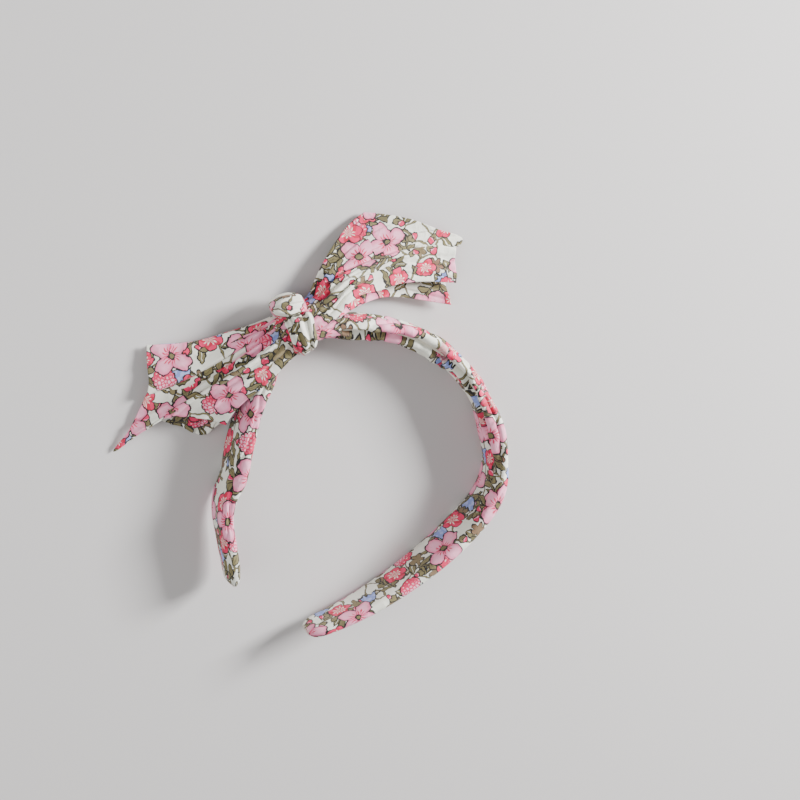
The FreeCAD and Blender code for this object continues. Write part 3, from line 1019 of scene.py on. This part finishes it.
def stitchRow(name, places):
    # short loops of thread over an edge: a torus at each place, turned to its axis, then all joined into one
    copies = []
    for centre, axis in places:
        clearSelection()
        bpy.ops.mesh.primitive_torus_add(
            major_segments=20, minor_segments=8,
            major_radius=stitch["length"] * mm, minor_radius=stitch["thread"] * mm)
        ring = bpy.context.object
        turn = Vector((0, 0, 1)).rotation_difference(Vector(axis)).to_matrix().to_4x4()
        ring.data.transform(Matrix.Translation(Vector(centre) * mm) @ turn)
        copies.append(ring)
    clearSelection()
    for ring in copies:
        ring.select_set(True)
    bpy.context.view_layer.objects.active = copies[0]
    bpy.ops.object.join()
    copies[0].name = copies[0].data.name = name
    return finishPiece(copies[0], cottonThread)


def tipStitches(side):
    end = np.array([side * (halfLength - stitch["inset"])])
    x, y, heading = hoopLine(end)
    low, width, lean, sway = (section(key, end)[0] for key in ("low", "width", "lean", "sway"))
    alongX, alongY = math.cos(heading[0]), -math.sin(heading[0])
    places = []
    for i in range(stitch["rows"]):
        up = (i - (stitch["rows"] - 1) / 2) * stitch["pitch"]
        out = up * math.tan(math.radians(lean)) + sway
        slant = stitch["slants"][i % 2]
        places.append(((x[0] - out * alongY, y[0] + out * alongX, low + width / 2 + up),
                       (slant * alongX, slant * alongY, 1)))
    return stitchRow("tip_stitch_row_left" if side < 0 else "tip_stitch_row_right", places)


def tackStitches():
    places = []
    turn = math.radians(knot["turn"])
    for i in (-1, 0, 1):
        out = -wrap["halfOut"] + wrap["outCentre"] + tack["lift"]
        centre = atKnot(tack["along"], out, tack["upCentre"] + tack["pitch"] * i)
        places.append((tuple(centre), (tack["slant"] * math.cos(turn), tack["slant"] * math.sin(turn), 1)))
    return stitchRow("knot_tack_row", places)


stitchesLeft = tipStitches(-1)
stitchesRight = tipStitches(1)
knotTack = tackStitches()
print("stitches made")

# what rides on what

flexReach = 42.0  # a distance to each side of the crown, where points on the hoop's line are found
flexStart = hoopLine(np.array([-flexReach]))
flexEnd = hoopLine(np.array([flexReach]))
bandMiddle = 10.5


def flexPoint(line):
    return (line[0][0] * mm, line[1][0] * mm, bandMiddle * mm)


for piece, nodes in ((fabricSleeve, ("sleeve_left", "sleeve_right")),
                     (waddingLayer, ("wadding_left", "wadding_right")),
                     (plasticCore, ("core_left", "core_right"))):
    flexPoint(flexStart)
    flexPoint(flexEnd)
    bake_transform(piece)
    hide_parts(*nodes)

for piece, node in ((knotWrap, "knot_wrap"), (knotLoop, "knot_loop"), (knotCrossing, "knot_crossing")):
    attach(piece, "left_side")
    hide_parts(node)
for piece, node, body in ((stitchesLeft, "tip_stitches_left", "left_side"),
                          (knotTack, "knot_tack_stitches", "left_side"),
                          (stitchesRight, "tip_stitches_right", "right_side")):
    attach(piece, body)
    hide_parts(node)

joints = {joint["name"]: joint for joint in frame["joints"]}
for tail, body in ((upperTail, "upper_tail"), (lowerTail, "lower_tail")):
    pivot = Vector(joints[body + "_lift"]["pos_m"])
    edge = np.array(tail["face"]["end"], float).mean(axis=0) * mm
    way = Vector(edge) - pivot
    way.z = 0
    way.normalize()
    for layer in ("face", "backing"):
        piece = tails[tail["name"] + "_" + layer]
        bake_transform(piece)
        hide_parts(tail["name"] + "_" + layer)
        tuple(side * mm for side in tail["cut"])
print("pieces joined to the frame")

# the studio: floor, lamps and camera

studio = {
    "azimuth": 270.0, "elevation": 66.4, "roll": 122.9, "distance": 1.012, "lens": 99.4,
    "aim": (-0.0006, -0.0285, 0.0120),
    "keyPlace": (0.55, 0.85, 0.55), "keyPower": 46.0, "keySize": 0.35,
    "fillPlace": (-0.7, -0.5, 0.7), "fillPower": 7.0, "fillSize": 0.9, "worldLight": 0.32,
    "lampAim": (-0.02, -0.05, 0), "sensor": 36, "floorSize": 6, "floorColour": paint(204, 201, 200),
}


def makeFloor():
    clearSelection()
    bpy.ops.mesh.primitive_plane_add(size=studio["floorSize"])
    floor = bpy.context.object
    floor.name = "floor"
    shader = Shader("paleFloor")
    shader.surface({"Base Color": studio["floorColour"], "Roughness": 0.8})
    giveMaterial(floor, shader.material)


def makeLamp(name, place, power, size):
    clearSelection()
    bpy.ops.object.light_add(type="AREA", location=place)
    lamp = bpy.context.object
    lamp.name = name
    lamp.data.energy = power
    lamp.data.size = size
    lamp.rotation_euler = (Vector(studio["lampAim"]) - Vector(place)).to_track_quat("-Z", "Y").to_euler()


def makeCamera():
    azimuth, elevation = math.radians(studio["azimuth"]), math.radians(studio["elevation"])
    back = Vector((math.sin(azimuth) * math.cos(elevation), -math.cos(azimuth) * math.cos(elevation),
                   math.sin(elevation)))
    right = Vector((0, 0, 1)).cross(back).normalized()
    up = back.cross(right)
    roll = math.radians(studio["roll"])
    turnedRight = right * math.cos(roll) + up * math.sin(roll)
    turnedUp = back.cross(turnedRight)
    clearSelection()
    bpy.ops.object.camera_add()
    camera = bpy.context.object
    camera.name = "camera"
    pose = Matrix((turnedRight, turnedUp, back)).transposed().to_4x4()
    pose.translation = Vector(studio["aim"]) + back * studio["distance"]
    camera.matrix_world = pose
    camera.data.lens = studio["lens"]
    camera.data.sensor_width = studio["sensor"]
    bpy.context.scene.camera = camera


makeFloor()
makeLamp("keyLamp", studio["keyPlace"], studio["keyPower"], studio["keySize"])
makeLamp("fillLamp", studio["fillPlace"], studio["fillPower"], studio["fillSize"])
world = bpy.data.worlds.new("softStudio")
world.use_nodes = True
backdrop = world.node_tree.nodes["Background"]
backdrop.inputs[0].default_value = (1, 1, 1, 1)
backdrop.inputs[1].default_value = studio["worldLight"]
bpy.context.scene.world = world
makeCamera()
print("studio made")
